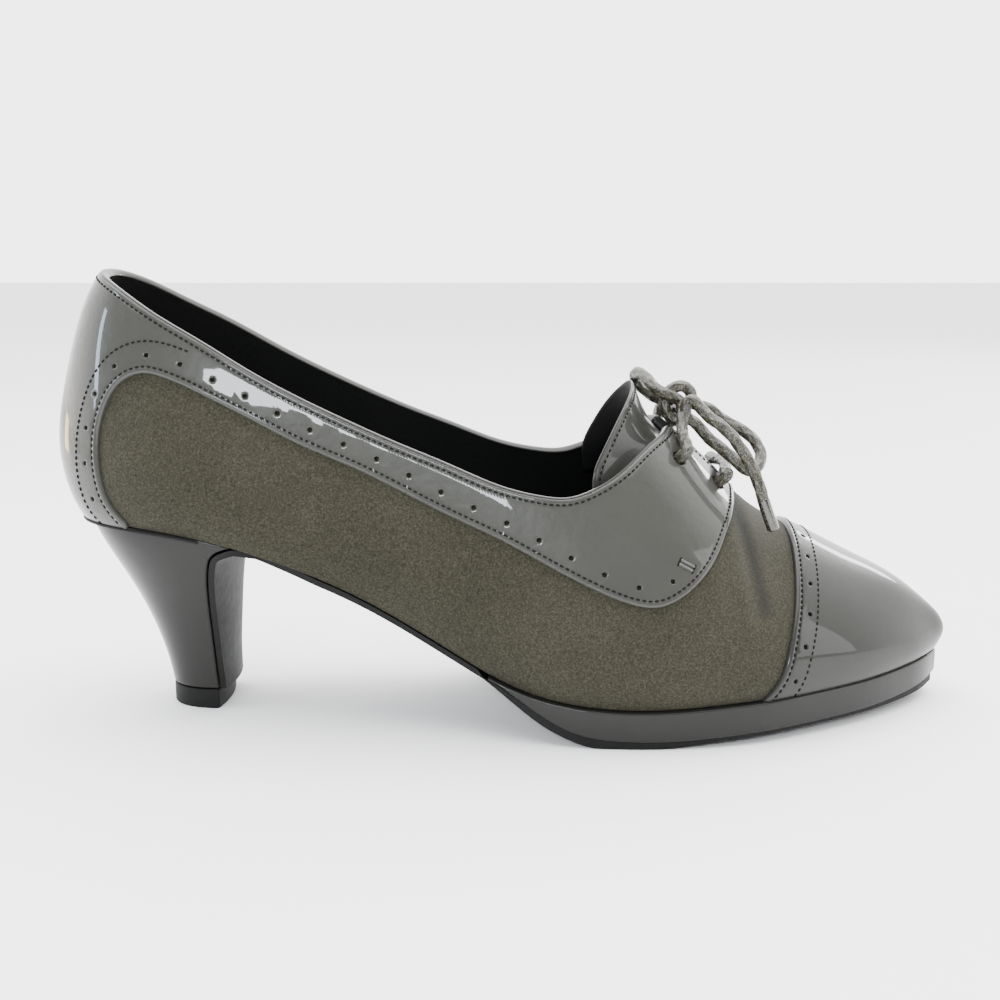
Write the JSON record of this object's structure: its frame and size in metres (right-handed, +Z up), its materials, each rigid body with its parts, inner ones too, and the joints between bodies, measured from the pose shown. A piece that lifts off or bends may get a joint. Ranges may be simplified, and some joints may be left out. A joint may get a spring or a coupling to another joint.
{
  "type": "heeled oxford shoe",
  "caption": "Women's right oxford shoe: suede upper with patent band and toe cap, low platform, curved mid heel, waxed lace tied in a bow.",
  "frame": {"origin": "on the floor under the middle of the shoe's box, the lace's free ends left out", "axes": "+X to the toe, +Y to the inner side of the foot, +Z up"},
  "size_m": [0.2466, 0.0867, 0.1194],
  "materials": {
    "suede": "fine warm grey suede",
    "patent": "high gloss grey patent",
    "lining": "matt black lining",
    "sole_rubber": "matt black",
    "lace": "waxed round braid"
  },
  "bodies": {
    "root": {"upper": "suede", "quarter_overlay": "patent", "toe_cap": "patent", "tongue": "patent", "insole": "lining", "platform": "patent", "outsole": "sole_rubber", "heel": "patent", "heel_tip": "sole_rubber", "lace_crossing": "lace", "lace_bar": "lace", "lace_knot": "lace", "lace_left_loop": "lace", "lace_right_loop": "lace", "lace_front_end": "lace", "lace_back_end": "lace"}
  },
  "joints": []
}
